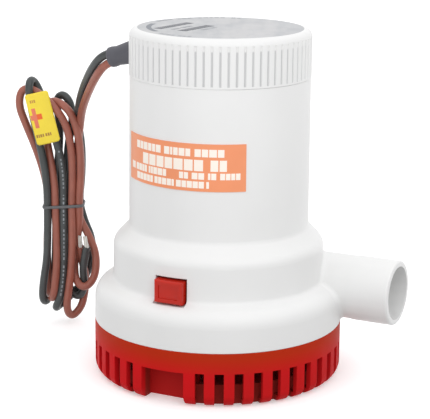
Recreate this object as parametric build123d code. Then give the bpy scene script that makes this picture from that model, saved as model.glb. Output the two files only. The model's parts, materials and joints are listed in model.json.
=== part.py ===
"""A round submersible bilge pump with its strainer base, motor, impeller and hanked lead.

Millimetres, +Z up. The origin is the middle of the base's underside, on the motor's axis.
Angles about +Z are in degrees from +X.
"""

from build123d import *
from math import cos, degrees, pi, radians, sin, sqrt, tan
import os

# ---------------------------------------------------------------- driving dimensions
WALL = 2.5                      # moulded shell thickness
RUN_GAP = 0.05                  # radial running clearance on the shaft

# heights of the stack, from the floor up
SEAM_Z = 24.4                   # red strainer below, white housing above
CHAMBER_FLOOR_Z = 27.5          # inside face of the volute's inlet plate
CHAMBER_TOP_Z = 54.0
DECK_TOP_Z = 58.0               # floor of the motor bay
CAP_SEAM_Z = 134.7
TOP_Z = 155.7

# outside radii
BASE_R = 55.8
TIER_R = 47.4
BARREL_FOOT_R = 40.3
BARREL_R = 40.0
CAP_R = 40.2
BADGE_R = 36.5

# strainer
EDGE_ROUND = 5.0
STRAINER_WALL = 2.4
STRAINER_FLOOR = 2.5
SLOT_COUNT = 41
SLOT_W = 4.0
SLOT_TOP_Z = 15.3
SILT_RING_R = 50.0              # the low wall inside the slots, which stops silt
SILT_RING_Z = 8.6
SILT_RING_WALL = 1.8
NICHE_W = 20.1
NICHE_DEPTH = 10.0
NICHE_TOP_Z = 15.0
SCREW_PCD = 66.0
SCREW_HOLE_R = 2.4
SCREW_HOLE_COUNT = 3
SCREW_AZ = -25.4

# release tabs, front and rear
TAB_AZ = -115.4
TAB_W = 13.3
TAB_LOW_Z = 43.1
TAB_HIGH_Z = 53.1
TAB_FACE = 50.2                 # distance of the button's face from the axis
ARM_IN = 41.6
ARM_THICK = 2.0
WINDOW_GAP = 0.9

# volute and outlet
CHAMBER_R = 34.0
INLET_R = 16.0
PLATE_THICK = 2.6
PLATE_SCREW_AZ = (70.0, 160.0, 250.0, 340.0)
PLATE_SCREW_RING = CHAMBER_R + WALL / 2
OUTLET_AZ = -26.0
OUTLET_OFFSET = 20.95           # the outlet leaves the chamber at a tangent
OUTLET_Z = 40.1
OUTLET_END = 78.7               # along its own axis, from the foot of the perpendicular
OUTLET_R = 14.5                 # the land that the hose grips
OUTLET_NECK_R = 14.25           # between the housing and the land
OUTLET_LAND = 59.5              # where the land begins
OUTLET_BORE_R = 12.0
OUTLET_FILLET = 2.0

# motor
SHAFT_R = 3.0
SHAFT_LOW_Z = 29.0
SHAFT_HIGH_Z = 131.5
BAY_R = 37.5
CAN_R = 32.8
CAN_WALL = 1.6
CAN_LOW_Z = 61.0
CAN_HIGH_Z = 122.4
MAGNET_R = 27.0
CORE_R = 26.2
CORE_LOW_Z = 75.0
CORE_HIGH_Z = 107.0
CORE_SLOTS = 12
COMMUTATOR_R = 9.0
SCREW_RING_R = 35.15
LONG_SCREW_AZ = (20.0, 200.0)

# cap
RIB_COUNT = 72
RIB_GROOVE_R = 0.6
RIM_ROUND = 3.4
GROMMET_AZ = 160.0
GROMMET_TILT = -16.0
GROMMET_Z = 142.9               # where its axis meets the cap's outside
GROMMET_LENGTH = 13.5
GROMMET_INNER = -7.6            # its inner face, measured the same way

# rating label on the barrel
LABEL_FROM_AZ = -163.0
LABEL_TO_AZ = -73.7
LABEL_LOW_Z = 91.2
LABEL_HIGH_Z = 111.6
LABEL_THICK = 0.3

# lead: two single wires, folded into a hank
WIRE_R = 1.9
WIRE_PITCH = 1.95               # half the spacing of the two wires at the grommet
HANK_X = -75.8                  # middle of the hank at its tie
HANK_Y = 62.0
TIE_Z = 59.7

# Each wire's route from the grommet to the hank.
BROWN_ROUTE = [
    (-53.2, 20.6, 134.6),
    (-56.9, 26.0, 129.0),
    (-60.0, 34.0, 122.8),
    (-63.0, 43.0, 116.0),
    (-65.8, 52.8, 108.2),
    (-67.4, 60.0, 99.6),
]
BLACK_ROUTE = [
    (-54.6, 21.2, 138.6),
    (-58.6, 26.8, 133.0),
    (-61.8, 35.2, 126.6),
    (-64.8, 44.8, 119.4),
    (-67.4, 55.2, 110.6),
    (-68.6, 63.0, 101.2),
]

# Inside the cap, each wire's route from its terminal to the grommet.
INNER_BROWN_ROUTE = [
    (-25.4, 0.0, 130.6),
    (-25.2, -1.4, 136.4),
    (-21.6, -4.2, 140.0),
    (-15.6, -4.8, 142.4),
    (-12.2, -0.4, 143.8),
    (-15.8, 4.9, 145.0),
    (-23.1, 8.4, 145.2),
]
INNER_BLACK_ROUTE = [
    (25.4, 0.0, 130.6),
    (25.4, 0.8, 136.6),
    (21.0, 2.6, 142.0),
    (12.0, 4.4, 145.8),
    (0.0, 6.2, 148.4),
    (-12.5, 7.2, 150.2),
    (-23.9, 8.9, 149.2),
]

# The hank's outer shape: height, sideways shift, half width, half depth.
HANK_SECTIONS = [
    (2.4, 3.6, 3.0, 3.0),
    (9.7, -0.6, 10.6, 5.4),
    (18.7, 0.5, 13.0, 6.6),
    (30.7, 3.0, 13.1, 6.8),
    (44.7, 2.5, 12.0, 6.4),
    (TIE_Z, 0.2, 10.0, 5.4),
    (71.7, -0.6, 10.9, 6.2),
    (85.7, -2.2, 12.7, 6.6),
    (99.7, -4.8, 14.4, 6.6),
    (109.7, -7.9, 13.0, 6.2),
    (116.7, -12.5, 6.8, 5.0),
    (121.9, -13.7, 2.6, 3.0),
]

# Tinned wire ends: middle of the lower end, then of the upper end.
BARE_ENDS = {
    "bare_end_black": ((-65.9, 58.4, 38.2), (-65.1, 58.4, 45.0)),
    "bare_end_brown": ((-68.4, 60.8, 37.6), (-67.9, 60.8, 44.2)),
}
BARE_R = 1.15

TAG_CENTRE = (-84.9, 54.9, 104.2)
TAG_SIZE = (11.4, 25.2, 0.6)
TAG_LEAN = 13.5

# ---------------------------------------------------------------- helpers


def rounded_outline(corners):
    """A closed face in the XZ plane from (radius, height, corner radius) corners."""
    edges = []
    starts, ends = [], []
    count = len(corners)
    for i, (r, z, round_r) in enumerate(corners):
        here = Vector(r, 0, z)
        back = (Vector(*_flat(corners[i - 1])) - here).normalized()
        ahead = (Vector(*_flat(corners[(i + 1) % count])) - here).normalized()
        if not round_r:
            starts.append(here)
            ends.append(here)
            continue
        half = radians(back.get_angle(ahead)) / 2
        reach = round_r / tan(half)
        first = here + back * reach
        last = here + ahead * reach
        bisector = (back + ahead).normalized()
        middle = here + bisector * (round_r / sin(half) - round_r)
        edges.append(ThreePointArc(first, middle, last))
        starts.append(first)
        ends.append(last)
    for i in range(count):
        edges.append(Line(ends[i], starts[(i + 1) % count]))
    return make_face(Wire(edges))


def _flat(corner):
    return corner[0], 0, corner[1]


def turned(*corners):
    """A solid of revolution about Z."""
    return revolve(rounded_outline(corners), Axis.Z, 360)


def disc(radius, low, high):
    return Pos(0, 0, low) * extrude(Circle(radius), high - low)


def ring(inner, outer, low, high):
    return Pos(0, 0, low) * extrude(Circle(outer) - Circle(inner), high - low)


def around(angle, solid):
    """Turn a solid that is built on +X to an angle about Z."""
    return Rot(0, 0, angle) * solid


def block(near, far, width, low, high):
    """A radial block on +X from one distance to another."""
    size_x = far - near
    size_z = high - low
    return Pos(near + size_x / 2, 0, low + size_z / 2) * Box(size_x, width, size_z)


def outlet_rod(radius, start, end):
    """A rod along the outlet's axis."""
    flat = Pos(start, OUTLET_OFFSET, OUTLET_Z) * Rot(0, 90, 0) * extrude(Circle(radius), end - start)
    return around(OUTLET_AZ, flat)


def barrel_r(height):
    share = (height - 68.2) / (CAP_SEAM_Z - 68.2)
    return BARREL_FOOT_R + (BARREL_R - BARREL_FOOT_R) * share


# ---------------------------------------------------------------- strainer and tabs


def strainer_base():
    """The red slotted base that snaps on under the housing."""
    lip_in, lip_out, lip_top = 50.4, 52.8, 28.0
    inside = BASE_R - STRAINER_WALL
    cup = turned(
        (0, 0, 0),
        (BASE_R, 0, EDGE_ROUND),
        (BASE_R, SEAM_Z, 0.4),
        (lip_out, SEAM_Z, 0),
        (lip_out, lip_top, 0.5),
        (lip_in, lip_top, 0),
        (lip_in, SEAM_Z - 3, 0),
        (inside, SEAM_Z - 6, 0),
        (inside, STRAINER_FLOOR, 0),
        (0, STRAINER_FLOOR, 0),
    )
    cup += ring(SILT_RING_R - SILT_RING_WALL, SILT_RING_R, 0, SILT_RING_Z)
    back = BASE_R - NICHE_DEPTH
    rim = turned((0, 0, 0), (BASE_R - 0.3, 0, EDGE_ROUND), (BASE_R - 0.3, SEAM_Z, 0), (0, SEAM_Z, 0))
    shroud_w = NICHE_W + 2 * STRAINER_WALL
    shroud = rim & block(back - STRAINER_WALL, BASE_R, shroud_w, 0.0, NICHE_TOP_Z + STRAINER_WALL)
    niche = block(back, BASE_R + 5, NICHE_W, -1, NICHE_TOP_Z)
    for side in (0, 180):
        cup += around(TAB_AZ + side, shroud)
    for side in (0, 180):
        cup -= around(TAB_AZ + side, niche)
    cup -= outlet_rod(OUTLET_R + 0.5, 30, OUTLET_END)
    slot = block(SILT_RING_R, BASE_R + 5, SLOT_W, -1, SLOT_TOP_Z)
    pitch = 360 / SLOT_COUNT
    clear = degrees(NICHE_W / 2 / BASE_R) + 3.2
    cutters = []
    for k in range(SLOT_COUNT):
        turn = k * pitch
        from_niche = min(turn % 180, 180 - turn % 180)
        if from_niche > clear:
            cutters.append(around(TAB_AZ + turn, slot))
    for k in range(SCREW_HOLE_COUNT):
        hole = Pos(SCREW_PCD / 2, 0, -1) * extrude(Circle(SCREW_HOLE_R), 6)
        cutters.append(around(SCREW_AZ + 120 * k, hole))
    return cup - cutters


def release_tab():
    """A springy arm with the square button that shows in the housing's window."""
    arm = block(ARM_IN, ARM_IN + ARM_THICK, TAB_W - 1.0, NICHE_TOP_Z + STRAINER_WALL + 0.35, TAB_HIGH_Z)
    button = block(ARM_IN + ARM_THICK - 0.4, TAB_FACE, TAB_W, TAB_LOW_Z, TAB_HIGH_Z)
    outer_edges = button.faces().sort_by(Axis.X)[-1].edges()
    button = fillet(outer_edges, 0.9)
    hollow = block(TAB_FACE - 0.45, TAB_FACE + 1, TAB_W - 4.2, TAB_LOW_Z + 2.1, TAB_HIGH_Z - 2.1)
    return arm + button - hollow


# ---------------------------------------------------------------- housing


def pump_housing():
    """Motor barrel, two tiers, volute wall and hose outlet in one white moulding."""
    outside = turned(
        (0, SEAM_Z, 0),
        (BASE_R, SEAM_Z, 0.3),
        (BASE_R - 0.2, 39.6, 8.2),
        (TIER_R, 43.9, 2.0),
        (TIER_R - 0.2, 60.9, 5.6),
        (BARREL_FOOT_R, 68.2, 2.4),
        (BARREL_R, CAP_SEAM_Z, 0),
        (0, CAP_SEAM_Z, 0),
    )
    body = outside + outlet_rod(OUTLET_NECK_R, 22, OUTLET_LAND)
    body = fillet(outlet_root_edges(body), OUTLET_FILLET)
    body += outlet_rod(OUTLET_R, OUTLET_LAND, OUTLET_END)
    mouth = [e for e in body.edges().filter_by(GeomType.CIRCLE) if is_mouth(e)]
    body = fillet(mouth, 1.0)
    skirt = turned(
        (0, SEAM_Z - 1, 0),
        (BASE_R - WALL, SEAM_Z - 1, 0),
        (BASE_R - WALL - 0.2, 37.2, 6.0),
        (TIER_R - WALL, 41.6, 0),
        (TIER_R - WALL, CHAMBER_TOP_Z, 1.0),
        (0, CHAMBER_TOP_Z, 0),
    )
    volute_wall = ring(CHAMBER_R, CHAMBER_R + WALL, CHAMBER_FLOOR_Z, CHAMBER_TOP_Z + 0.5)
    spout = outlet_rod(OUTLET_NECK_R, 22, OUTLET_LAND)
    deck_hub = disc(10.5, CHAMBER_TOP_Z - 2, 60.5)
    bay = turned(
        (0, DECK_TOP_Z, 0),
        (TIER_R - 3.2, DECK_TOP_Z, 1.0),
        (TIER_R - 3.2, 59.6, 2.0),
        (BAY_R, 66.4, 2.0),
        (BAY_R, CAP_SEAM_Z + 1, 0),
        (0, CAP_SEAM_Z + 1, 0),
    )
    screw_post = Pos(SCREW_RING_R, 0, DECK_TOP_Z - 0.5) * extrude(Circle(2.2), 8.5)
    shell = body - skirt - bay
    shell += volute_wall
    shell += spout - disc(CHAMBER_R, CHAMBER_FLOOR_Z - 5, CHAMBER_TOP_Z)
    shell += deck_hub
    for angle in LONG_SCREW_AZ:
        shell += around(angle, screw_post)
    shell -= disc(CHAMBER_R, CHAMBER_FLOOR_Z, CHAMBER_TOP_Z) - ring(0.1, 10.5, CHAMBER_TOP_Z - 2, 60.5)
    shell -= disc(CHAMBER_R + WALL + 0.4, SEAM_Z - 1, CHAMBER_FLOOR_Z)
    shell -= outlet_rod(OUTLET_BORE_R, 18, OUTLET_END + 1)
    shell -= disc(7.5, CHAMBER_TOP_Z - 1, 61)
    shell -= disc(5.0, CHAMBER_TOP_Z - 3, CHAMBER_TOP_Z)
    window = block(TIER_R - 5, BASE_R + 5, TAB_W + 2 * WINDOW_GAP, TAB_LOW_Z - 0.8, TAB_HIGH_Z + 1.1)
    for side in (0, 180):
        shell -= around(TAB_AZ + side, window)
    for angle in LONG_SCREW_AZ:
        shell -= around(angle, Pos(SCREW_RING_R, 0, DECK_TOP_Z + 1) * extrude(Circle(1.5), 12))
    for angle in PLATE_SCREW_AZ:
        shell -= around(angle, Pos(PLATE_SCREW_RING, 0, CHAMBER_FLOOR_Z - 1) * extrude(Circle(1.2), 9.5))
    return shell


def outlet_root_edges(body):
    """The edges where the outlet's outside meets the housing's outside."""
    found = []
    for edge in body.edges():
        middle = edge.position_at(0.5)
        local = Rot(0, 0, -OUTLET_AZ) * Pos(*middle)
        x, y, z = local.position
        off_axis = sqrt((y - OUTLET_OFFSET) ** 2 + (z - OUTLET_Z) ** 2)
        if abs(off_axis - OUTLET_NECK_R) < 0.05 and x < OUTLET_LAND - 1 and edge.geom_type != GeomType.LINE:
            found.append(edge)
    return found


def is_mouth(edge):
    """True for the rim circles at the outlet's open end."""
    local = Rot(0, 0, -OUTLET_AZ) * Pos(*edge.position_at(0.5))
    return local.position.X > OUTLET_END - 0.1 and abs(edge.radius - OUTLET_R) < 0.1


def inlet_plate():
    """The volute's floor, with the eye that water enters by."""
    low = CHAMBER_FLOOR_Z - PLATE_THICK
    plate = turned(
        (INLET_R, low, 0.8),
        (CHAMBER_R + WALL, low, 0),
        (CHAMBER_R + WALL, CHAMBER_FLOOR_Z, 0),
        (INLET_R, CHAMBER_FLOOR_Z, 0.8),
    )
    for angle in PLATE_SCREW_AZ:
        plate -= around(angle, Pos(PLATE_SCREW_RING, 0, low - 1) * extrude(Circle(1.2), 5))
    return plate


def pan_screw(shank_r, head_r, head_height, length):
    """A screw along +Z, its shank up from z = 0 and its head below, with a cross recess."""
    shank = extrude(Circle(shank_r), length)
    head = Pos(0, 0, -head_height) * extrude(Circle(head_r), head_height)
    head = fillet(head.edges().sort_by(Axis.Z)[0], head_height * 0.4)
    recess = Pos(0, 0, -head_height + 0.35) * (Box(head_r * 1.1, 0.5, 0.8) + Box(0.5, head_r * 1.1, 0.8))
    return shank + head - recess


def plate_screws():
    low = CHAMBER_FLOOR_Z - PLATE_THICK
    screw = Pos(PLATE_SCREW_RING, 0, low) * pan_screw(1.2, 2.1, 1.2, PLATE_THICK + 8.5)
    return Compound([around(angle, screw) for angle in PLATE_SCREW_AZ])


# ---------------------------------------------------------------- rotor


def motor_shaft():
    shaft = disc(SHAFT_R, SHAFT_LOW_Z, SHAFT_HIGH_Z)
    ends = shaft.edges().filter_by(GeomType.CIRCLE)
    return chamfer(ends, 0.4)


def impeller():
    """Five swept vanes under a back plate, on a hub that grips the shaft."""
    low, plate_low, plate_high = 31.0, 49.3, 51.3
    hub = disc(8.0, low, plate_high)
    plate = disc(28.0, plate_low, plate_high)
    bend = Pos(13, 9) * (Circle(18) - Circle(16.3))
    sector = Pos(20, -12) * Rectangle(40, 30)
    vane = extrude(bend & (Circle(28) - Circle(7)) & sector, plate_low - low)
    vanes = [Rot(0, 0, 72 * k) * Pos(0, 0, low) * vane for k in range(5)]
    return hub + plate + vanes - disc(SHAFT_R, 0, TOP_Z)


def impeller_clip():
    """The spring clip that holds the impeller on the shaft's end."""
    clip = ring(SHAFT_R, 5.6, 30.0, 31.0)
    return clip - block(0, 7, 2.6, 29, 32)


def armature_core():
    """The slotted lamination stack."""
    core = ring(SHAFT_R, CORE_R, CORE_LOW_Z, CORE_HIGH_Z)
    throat = block(CORE_R - 3, CORE_R + 1, 1.8, CORE_LOW_Z - 1, CORE_HIGH_Z + 1)
    pocket = Pos(CORE_R - 6.2, 0, CORE_LOW_Z - 1) * extrude(Circle(3.6), CORE_HIGH_Z - CORE_LOW_Z + 2)
    slots = [Rot(0, 0, 360 / CORE_SLOTS * k) * (throat + pocket) for k in range(CORE_SLOTS)]
    return core - slots


def armature_windings():
    """The enamelled coils: an end turn above and below, joined through the core's slots."""
    low = turned((9.5, 69.6, 2), (23.2, 69.6, 2), (23.2, CORE_LOW_Z, 0), (9.5, CORE_LOW_Z, 0))
    high = turned((9.5, CORE_HIGH_Z, 0), (23.2, CORE_HIGH_Z, 0), (23.2, 112.4, 2), (9.5, 112.4, 2))
    bar = Pos(CORE_R - 6.2, 0, CORE_LOW_Z - 0.5) * extrude(Circle(3.0), CORE_HIGH_Z - CORE_LOW_Z + 1)
    bars = [Rot(0, 0, 360 / CORE_SLOTS * k) * bar for k in range(CORE_SLOTS)]
    return low + high + bars


def commutator():
    body = ring(SHAFT_R, COMMUTATOR_R, 113.0, 122.0)
    groove = block(COMMUTATOR_R - 0.7, COMMUTATOR_R + 1, 0.5, 112, 123)
    return body - [Rot(0, 0, 360 / CORE_SLOTS * (k + 0.5)) * groove for k in range(CORE_SLOTS)]


# ---------------------------------------------------------------- motor's fixed parts


def motor_can():
    """The steel can, with the seat for the lower bearing."""
    inner = CAN_R - CAN_WALL
    can = turned(
        (5.0, CAN_LOW_Z, 0),
        (CAN_R, CAN_LOW_Z, 2.0),
        (CAN_R, CAN_HIGH_Z, 0),
        (inner, CAN_HIGH_Z, 0),
        (inner, CAN_LOW_Z + 2, 1.0),
        (5.0, CAN_LOW_Z + 2, 0),
    )
    return can + ring(9.5, 11.2, CAN_LOW_Z + 2, CAN_LOW_Z + 8)


def field_magnets():
    tile = ring(MAGNET_R, CAN_R - CAN_WALL, 71.0, 111.0)
    gap = block(0, CAN_R, 24.0, 70, 112)
    arcs = tile - around(90, gap) - around(270, gap)
    return arcs


def ball_bearing(outer_r, low, height):
    bearing = ring(SHAFT_R + RUN_GAP, outer_r, low, low + height)
    middle = (SHAFT_R + outer_r) / 2
    race = ring(middle - 0.7, middle + 0.7, low - 0.01, low + 0.6)
    return bearing - race - Pos(0, 0, height - 0.58) * race


def brush_card():
    """The moulded card that carries the brush holders."""
    card = ring(10.0, CAN_R - CAN_WALL, 122.6, 125.0)
    for side in (0, 180):
        card -= around(side, block(24.6, 27.0, 4.6, 122, 126))
    return card


def brush_holders():
    holder = block(11.6, 24.0, 8.0, 114.4, 122.6)
    channel = block(9.0, 22.8, 5.2, 115.5, 120.7)
    return Compound([around(side, holder - channel) for side in (0, 180)])


def brush():
    """A carbon block whose face is cut to the commutator."""
    carbon = block(7.0, 19.6, 5.0, 115.6, 120.6)
    return carbon - disc(COMMUTATOR_R + 0.3, 115, 121)


def brush_springs():
    """Leaf springs bowed between each brush and its holder."""
    leaf = block(19.65, 20.0, 4.4, 116.4, 119.8) + block(20.0, 22.75, 0.4, 116.4, 119.8)
    return Compound([around(side, leaf) for side in (0, 180)])


def terminals():
    """Brass blades that pass up through the card and the end bell."""
    blade = block(25.0, 25.8, 4.2, 120.0, 131.6)
    foot = block(24.1, 25.8, 4.2, 119.2, 120.0)
    return Compound([around(side, blade + foot) for side in (0, 180)])


def end_bell():
    """The motor's upper cover, with the upper bearing's seat and two screw ears."""
    bell = turned(
        (6.0, 125.2, 0),
        (CAN_R, 125.2, 0),
        (CAN_R, 127.2, 0.8),
        (10.4, 127.2, 0),
        (10.4, 132.6, 1.0),
        (5.0, 132.6, 0),
        (5.0, 131.8, 0),
        (8.5, 131.8, 0),
        (8.5, 126.4, 0),
        (6.0, 126.4, 0),
    )
    sleeve = ring(CAN_R - CAN_WALL, CAN_R, CAN_HIGH_Z, 125.3)
    bell += sleeve
    for angle in LONG_SCREW_AZ:
        bell += around(angle, Pos(SCREW_RING_R - 0.2, 0, 124.2) * extrude(Circle(2.2), 3.0))
        bell += around(angle, block(CAN_R - 1.2, SCREW_RING_R, 4.2, 124.2, 127.2))
        bell -= around(angle, Pos(SCREW_RING_R, 0, 123) * extrude(Circle(1.5), 6))
    for side in (0, 180):
        bell -= around(side, block(24.6, 26.2, 4.8, 124, 128))
    return bell


def long_screws():
    """The two screws that clamp the motor down onto the deck."""
    screw = Pos(SCREW_RING_R, 0, 127.2) * Rot(180, 0, 0) * pan_screw(1.5, 2.1, 1.6, 60.6)
    return Compound([around(angle, screw) for angle in LONG_SCREW_AZ])


def shaft_seal(low):
    """A lip seal: a rubber ring with a garter groove."""
    seal = ring(SHAFT_R + RUN_GAP, 7.5, low, low + 3.2)
    return seal - ring(4.6, 6.4, low - 0.01, low + 1.4)


def suppression_choke():
    """A ferrite rod choke that lies across the end bell."""
    rod = Pos(-9, -16.5, 130.2) * Rot(0, 90, 0) * extrude(Circle(2.9), 18)
    return fillet(rod.edges(), 0.5)


def suppression_capacitor():
    pill = Pos(-5.5, 15.5, 127.3) * Box(11, 5, 9, align=(Align.MIN, Align.MIN, Align.MIN))
    return fillet(pill.edges(), 0.9)


# ---------------------------------------------------------------- cap


def grommet_plane(out):
    """A plane square to the grommet's axis, this far out from the cap's surface."""
    way = Vector(cos(radians(GROMMET_TILT)), 0, sin(radians(GROMMET_TILT)))
    start = Vector(BARREL_R, 0, GROMMET_Z)
    turn = Rot(0, 0, GROMMET_AZ)
    centre = (turn * Pos(*(start + way * out))).position
    ahead = (turn * Pos(*way)).position
    across = (turn * Pos(0, 1, 0)).position
    return Plane(origin=centre, x_dir=across, z_dir=ahead)


def top_cap():
    """The ribbed cap with its sunk top and the spigot that plugs the barrel."""
    shell = turned(
        (0, TOP_Z - 3.0, 0),
        (37.6, TOP_Z - 3.0, 1.5),
        (37.6, 136.6, 0),
        (33.0, 136.6, 0),
        (33.0, 129.6, 0),
        (37.2, 129.6, 0.4),
        (37.2, CAP_SEAM_Z, 0),
        (CAP_R, CAP_SEAM_Z, 0.3),
        (CAP_R, TOP_Z, RIM_ROUND),
        (BADGE_R, TOP_Z, 0),
        (BADGE_R, TOP_Z - 0.6, 0),
        (0, TOP_Z - 0.6, 0),
    )
    shell -= ring(34.8, 38, 130.2, 132.8)
    groove = Circle(RIB_GROOVE_R)
    grooves = [Rot(0, 0, 360 / RIB_COUNT * k) * Pos(CAP_R + 0.15, 0) * groove for k in range(RIB_COUNT)]
    band = extrude(Sketch() + grooves, 17.0)
    shell -= Pos(0, 0, CAP_SEAM_Z + 1.1) * band
    hole = grommet_plane(-8) * extrude(Circle(5.4), 14)
    return shell - hole


def cap_seal():
    return Pos(0, 0, 131.5) * Torus(36.15, 1.3)


def top_badge():
    """The grey disc let into the cap's top."""
    return disc(BADGE_R, TOP_Z - 0.6, TOP_Z)


def cable_grommet():
    """The rubber sleeve that the two wires leave by."""
    sleeve = grommet_plane(0).location * turned(
        (0, GROMMET_INNER, 0),
        (6.9, GROMMET_INNER, 0.5),
        (6.9, GROMMET_INNER + 1.6, 0.5),
        (5.4, GROMMET_INNER + 1.6, 0),
        (5.4, 0.9, 0),
        (4.4, GROMMET_LENGTH - 4.5, 0),
        (4.7, GROMMET_LENGTH - 2.0, 0.8),
        (4.5, GROMMET_LENGTH, 1.0),
        (0, GROMMET_LENGTH, 0),
    )
    for shift in (WIRE_PITCH, -WIRE_PITCH):
        sleeve -= wire_start_plane(shift, -8) * extrude(Circle(WIRE_R), 30)
    return sleeve


def wire_start_plane(shift, out):
    """The grommet's plane moved up or down to one wire's axis."""
    plane = grommet_plane(out)
    upward = plane.y_dir if plane.y_dir.Z > 0 else plane.y_dir * -1
    return Plane(origin=plane.origin + upward * shift, x_dir=plane.x_dir, z_dir=plane.z_dir)


# ---------------------------------------------------------------- lead


def tube_path(points):
    """Straight runs joined by the largest tangent arcs that fit."""
    vectors = [Vector(*p) for p in points]
    radii = []
    for a, b, c in zip(vectors, vectors[1:], vectors[2:]):
        shorter = min((b - a).length, (c - b).length)
        turn = radians((b - a).get_angle(c - b))
        radii.append(0.45 * shorter / tan(turn / 2))
    print("arc radii", [round(r, 1) for r in radii])
    return FilletPolyline(*vectors, radius=radii)


def wire(points):
    path = tube_path(points)
    section = Plane(origin=path @ 0, z_dir=path % 0) * Circle(WIRE_R)
    tube = sweep(section, path)
    print("tube volume over section times length", round(tube.volume / (pi * WIRE_R**2 * path.length), 4))
    return tube


def lead(shift, route):
    """One wire from the grommet's end to the hank."""
    inside = wire_start_plane(shift, GROMMET_LENGTH - 3).origin
    exit_point = wire_start_plane(shift, GROMMET_LENGTH).origin
    bulk = wire([tuple(exit_point)] + route)
    stub = wire_start_plane(shift, GROMMET_LENGTH - 3) * extrude(Circle(WIRE_R), (exit_point - inside).length)
    return bulk + stub


def inner_lead(shift, route):
    """One wire from its terminal, across the cap's inside, to the grommet."""
    entry = wire_start_plane(shift, GROMMET_INNER).origin
    return wire(route + [tuple(entry)])


def lead_hank():
    """The folded hank's outer shape, pinched at its tie."""
    rings = []
    for height, shift, half_width, half_depth in HANK_SECTIONS:
        rings.append(Pos(HANK_X + shift, HANK_Y, height) * Ellipse(half_width, half_depth))
    return loft(rings, ruled=True)


def hank_tie():
    band = Ellipse(10.7, 6.5) - Ellipse(9.5, 5.3)
    strap = Pos(HANK_X, HANK_Y, TIE_Z - 0.9) * extrude(band, 1.8)
    return strap


def bare_end(low, high):
    axis = Line(low, high)
    section = Plane(origin=low, z_dir=axis % 0) * Circle(BARE_R)
    pin = extrude(section, axis.length)
    return fillet(pin.edges().sort_by(Axis.Z)[-1], 0.5)


def polarity_tag():
    width, height, thick = TAG_SIZE
    card = Box(width, thick, height)
    card = fillet(card.edges().filter_by(Axis.Y), 0.8)
    return Pos(*TAG_CENTRE) * Rot(0, -TAG_LEAN, 0) * card


def rating_label():
    """The printed label that wraps part of the barrel."""
    low_r, high_r = barrel_r(LABEL_LOW_Z), barrel_r(LABEL_HIGH_Z)
    outline = rounded_outline([
        (low_r, LABEL_LOW_Z, 0),
        (low_r + LABEL_THICK, LABEL_LOW_Z, 0),
        (high_r + LABEL_THICK, LABEL_HIGH_Z, 0),
        (high_r, LABEL_HIGH_Z, 0),
    ])
    sweep_angle = LABEL_TO_AZ - LABEL_FROM_AZ
    return around(LABEL_FROM_AZ, revolve(outline, Axis.Z, sweep_angle))


# ---------------------------------------------------------------- write the parts


def build():
    tab = release_tab()
    parts = {
        "strainer_base": strainer_base(),
        "release_tab_front": around(TAB_AZ, tab),
        "release_tab_rear": around(TAB_AZ + 180, tab),
        "pump_housing": pump_housing(),
        "inlet_plate": inlet_plate(),
        "plate_screws": plate_screws(),
        "motor_shaft": motor_shaft(),
        "impeller": impeller(),
        "impeller_clip": impeller_clip(),
        "shaft_seal_lower": shaft_seal(53.2),
        "shaft_seal_upper": shaft_seal(57.0),
        "motor_can": motor_can(),
        "field_magnets": field_magnets(),
        "bearing_lower": ball_bearing(9.5, CAN_LOW_Z + 2, 6.0),
        "bearing_upper": ball_bearing(8.5, 126.4, 5.0),
        "armature_core": armature_core(),
        "armature_windings": armature_windings(),
        "commutator": commutator(),
        "brush_card": brush_card(),
        "brush_holders": brush_holders(),
        "brush_left": around(180, brush()),
        "brush_right": brush(),
        "brush_springs": brush_springs(),
        "terminals": terminals(),
        "end_bell": end_bell(),
        "motor_screws": long_screws(),
        "suppression_choke": suppression_choke(),
        "suppression_capacitor": suppression_capacitor(),
        "top_cap": top_cap(),
        "cap_seal": cap_seal(),
        "top_badge": top_badge(),
        "rating_label": rating_label(),
        "cable_grommet": cable_grommet(),
        "inner_lead_brown": inner_lead(-WIRE_PITCH, INNER_BROWN_ROUTE),
        "inner_lead_black": inner_lead(WIRE_PITCH, INNER_BLACK_ROUTE),
        "lead_brown": lead(-WIRE_PITCH, BROWN_ROUTE),
        "lead_black": lead(WIRE_PITCH, BLACK_ROUTE),
        "lead_hank": lead_hank(),
        "hank_tie": hank_tie(),
        "polarity_tag": polarity_tag(),
    }
    for name, (low, high) in BARE_ENDS.items():
        parts[name] = bare_end(low, high)
    return parts


os.makedirs("parts", exist_ok=True)
for node, solid in build().items():
    export_step(solid, f"parts/{node}.step")
    print("wrote", node)
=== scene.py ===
"""The looks of a round submersible bilge pump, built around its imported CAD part.

Metres, +Z up, in the CAD part's own frame: the origin is the middle of the base's underside.
The camera looks along +Y.
"""

import json
import math

import bmesh
import bpy
from mathutils import Matrix, Vector


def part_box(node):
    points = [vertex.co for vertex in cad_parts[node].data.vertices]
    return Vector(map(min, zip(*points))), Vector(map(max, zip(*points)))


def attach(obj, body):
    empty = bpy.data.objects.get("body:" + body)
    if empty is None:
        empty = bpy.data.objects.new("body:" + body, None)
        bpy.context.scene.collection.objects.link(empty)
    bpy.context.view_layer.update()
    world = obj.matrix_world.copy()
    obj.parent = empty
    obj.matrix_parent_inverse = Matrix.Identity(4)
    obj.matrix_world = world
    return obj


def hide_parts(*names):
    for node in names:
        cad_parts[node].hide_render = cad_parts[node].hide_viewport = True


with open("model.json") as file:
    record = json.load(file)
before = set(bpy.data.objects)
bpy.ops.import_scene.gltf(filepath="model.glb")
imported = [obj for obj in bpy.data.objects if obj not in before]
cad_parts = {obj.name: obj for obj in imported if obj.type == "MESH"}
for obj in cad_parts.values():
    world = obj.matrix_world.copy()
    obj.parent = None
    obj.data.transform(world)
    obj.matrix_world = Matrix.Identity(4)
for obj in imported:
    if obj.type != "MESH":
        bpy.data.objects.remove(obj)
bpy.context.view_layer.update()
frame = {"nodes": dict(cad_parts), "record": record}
NODES = frame["nodes"]
MM = 0.001

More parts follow.
